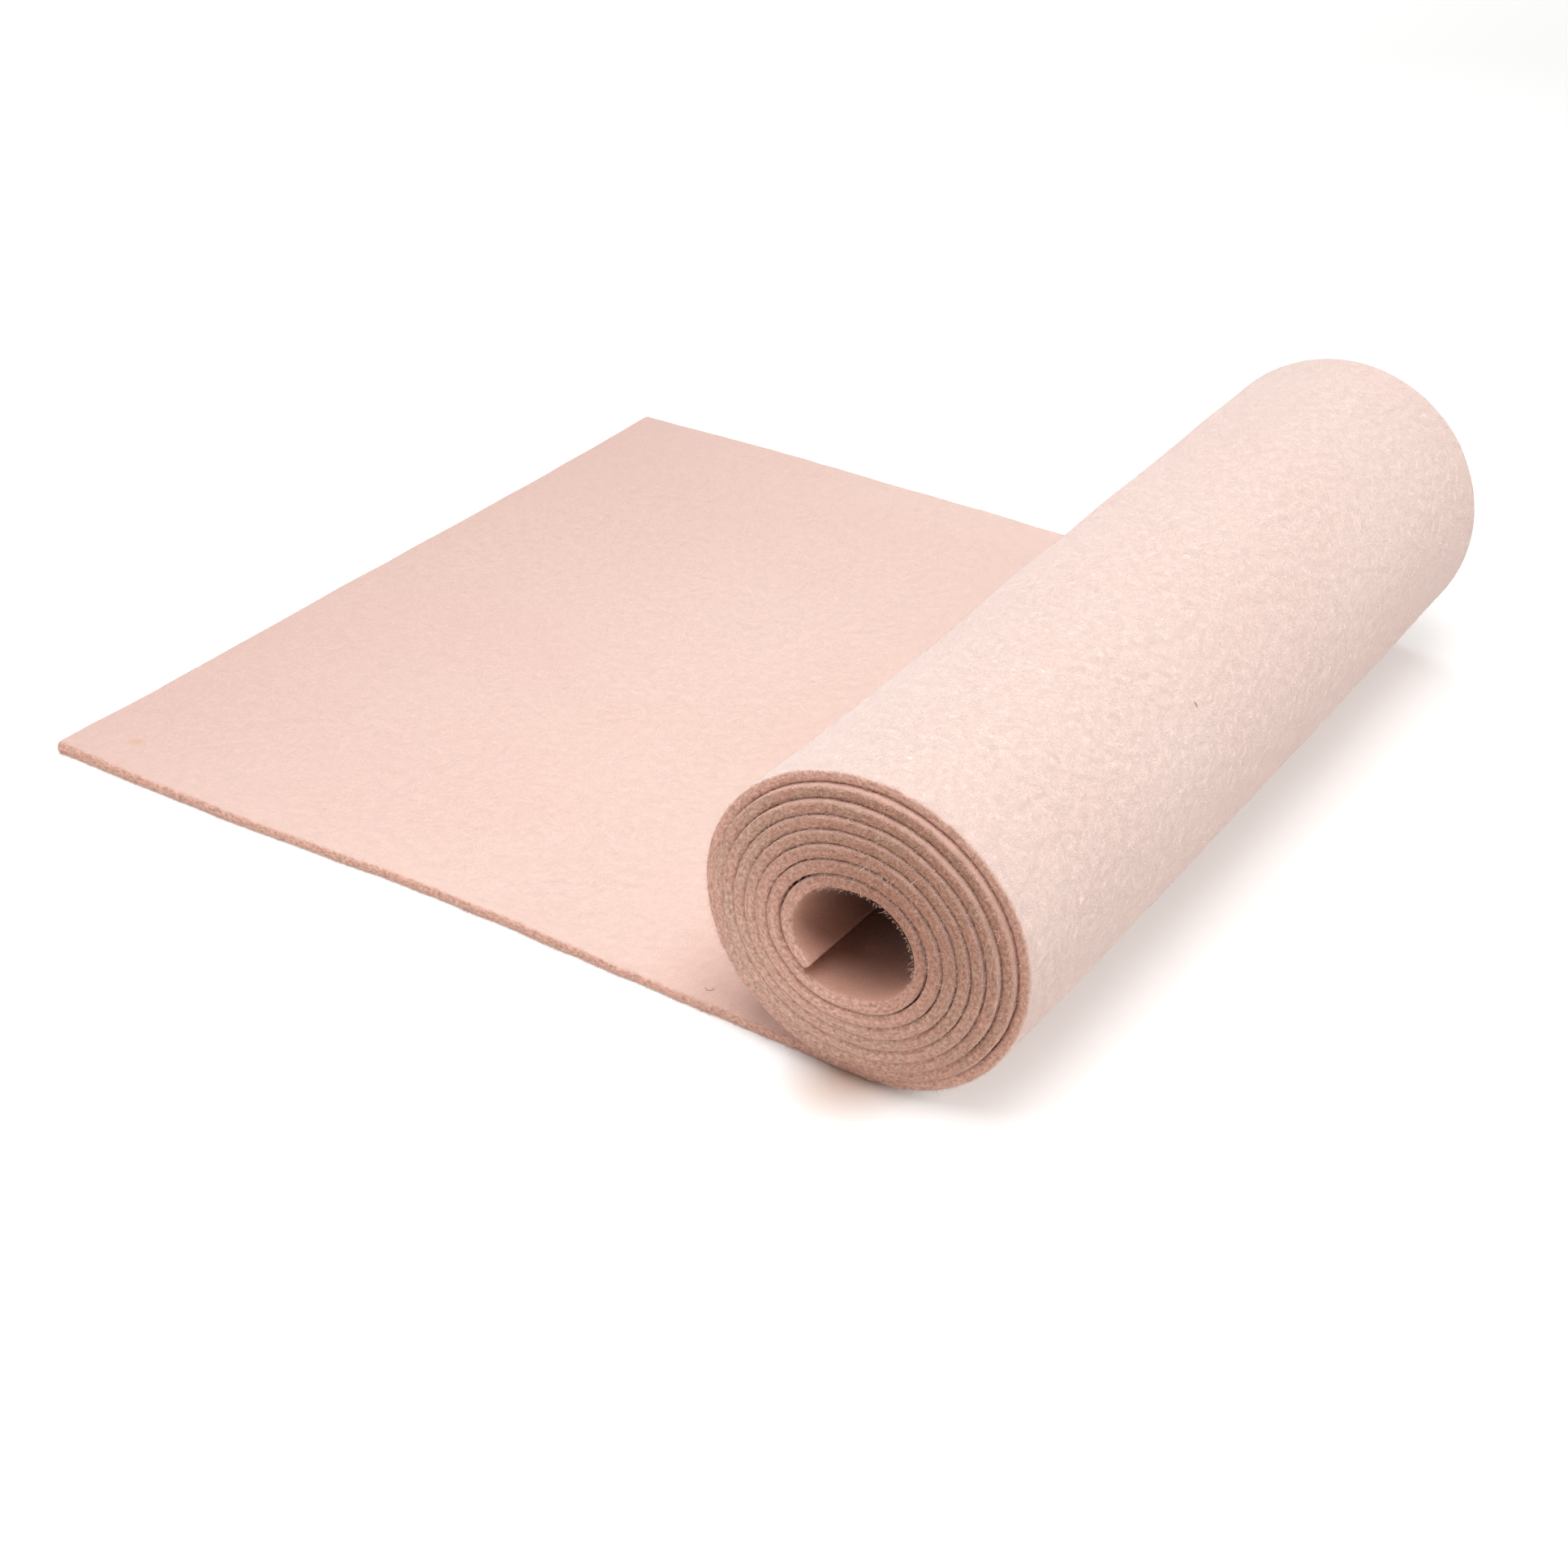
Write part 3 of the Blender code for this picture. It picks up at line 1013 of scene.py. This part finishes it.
def build_floor(foot):
    """A plain pale floor, just under the felt."""
    mesh = bpy.data.meshes.new("floor")
    half = FLOOR_SIZE / 2
    sides = ((-half, -half), (half, -half), (half, half), (-half, half))
    mesh.from_pydata([(x, y, FLOOR_Z) for x, y in sides], [], [(0, 1, 2, 3)])
    mesh.materials.append(floor_material(foot))
    floor = bpy.data.objects.new("floor", mesh)
    bpy.context.scene.collection.objects.link(floor)


def build_backdrop():
    """A white dome far behind everything, which is seen but gives the cloth no light."""
    shape = bmesh.new()
    bmesh.ops.create_icosphere(shape, subdivisions=4, radius=BACKDROP_RADIUS)
    mesh = bpy.data.meshes.new("backdrop")
    shape.to_mesh(mesh)
    shape.free()
    material, _, shader = shader_material("backdrop_white", 1.0, SPECULAR)
    shader.inputs["Emission Color"].default_value = WHITE
    shader.inputs["Emission Strength"].default_value = 1.0
    mesh.materials.append(material)
    backdrop = bpy.data.objects.new("backdrop", mesh)
    backdrop.visible_diffuse = False
    backdrop.visible_glossy = False
    backdrop.visible_shadow = False
    bpy.context.scene.collection.objects.link(backdrop)


def build_lights():
    """Even light from all round, and large soft panels that face the cloth."""
    world = bpy.data.worlds.new("surroundings")
    world.use_nodes = True
    background = world.node_tree.nodes["Background"]
    background.inputs["Color"].default_value = WHITE
    background.inputs["Strength"].default_value = WORLD_STRENGTH
    bpy.context.scene.world = world

    for name, place, size, power, colour in PANELS:
        panel = bpy.data.lights.new(name, "AREA")
        panel.size = size
        panel.energy = power
        panel.color = colour
        lamp = bpy.data.objects.new(name, panel)
        lamp.location = place
        lamp.rotation_euler = (-Vector(place)).to_track_quat("-Z", "Y").to_euler()
        lamp.visible_camera = False
        bpy.context.scene.collection.objects.link(lamp)


def build_camera():
    """The photograph's view."""
    camera = bpy.data.cameras.new("camera")
    camera.sensor_width = CAMERA_SENSOR
    camera.lens = CAMERA_LENS
    camera.clip_start, camera.clip_end = CAMERA_RANGE
    holder = bpy.data.objects.new("camera", camera)
    turn = Matrix.Rotation(CAMERA_YAW, 4, "Z")
    tip = Matrix.Rotation(math.pi / 2 - CAMERA_PITCH, 4, "X")
    roll = Matrix.Rotation(CAMERA_ROLL, 4, "Z")
    holder.matrix_world = Matrix.Translation(CAMERA_PLACE) @ turn @ tip @ roll
    bpy.context.scene.collection.objects.link(holder)
    bpy.context.scene.camera = holder


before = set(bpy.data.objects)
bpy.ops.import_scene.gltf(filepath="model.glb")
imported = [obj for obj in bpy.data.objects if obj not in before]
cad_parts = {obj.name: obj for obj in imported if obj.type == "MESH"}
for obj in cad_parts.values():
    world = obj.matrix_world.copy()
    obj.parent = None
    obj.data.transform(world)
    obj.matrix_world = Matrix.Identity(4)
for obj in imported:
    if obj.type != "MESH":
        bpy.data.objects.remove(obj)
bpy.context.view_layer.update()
shift = row_shift()
felt = felt_material("felt_look", SPECULAR, SHEEN)
dull_felt = felt_material("felt_inside", 0.0, 0.0)
cloth = build_cloth(felt, dull_felt, shift)
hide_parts(NODE)

fibre = fibre_material("fibre_look", FIBRE_PALE)
warm_fibre = fibre_material("edge_fibre_look", FIBRE_WARM)
hair = fibre_material("hair_look", CURL_TONE)
on_tail = (TAIL_FUZZ_START, TAIL_LENGTH)
on_roll = (TAIL_LENGTH + ROLL_FUZZ_START, float(length_at(1)))
fibres = [
    edge_fuzz("near_fuzz", NEAR_FUZZ, 1.0, warm_fibre, shift),
    edge_fuzz("far_fuzz", FAR_FUZZ, -1.0, warm_fibre, shift),
    end_fuzz(warm_fibre, shift),
    stray_fibres(warm_fibre, shift),
    curled_hair(hair, shift),
    face_fuzz("tail_fuzz", TAIL_FUZZ, on_tail, SHEET_THICKNESS, fibre, shift),
    face_fuzz("roll_fuzz", ROLL_FUZZ, on_roll, 0.0, fibre, shift),
    face_fuzz("roll_fuzz_2", ROLL_FUZZ_2, on_roll, 0.0, fibre, shift),
]

build_floor((cloth_point(TAIL_LENGTH, 0.5, 0.0) + shift) * MM)
build_backdrop()
build_lights()
build_camera()
bpy.context.scene.view_settings.view_transform = "Standard"
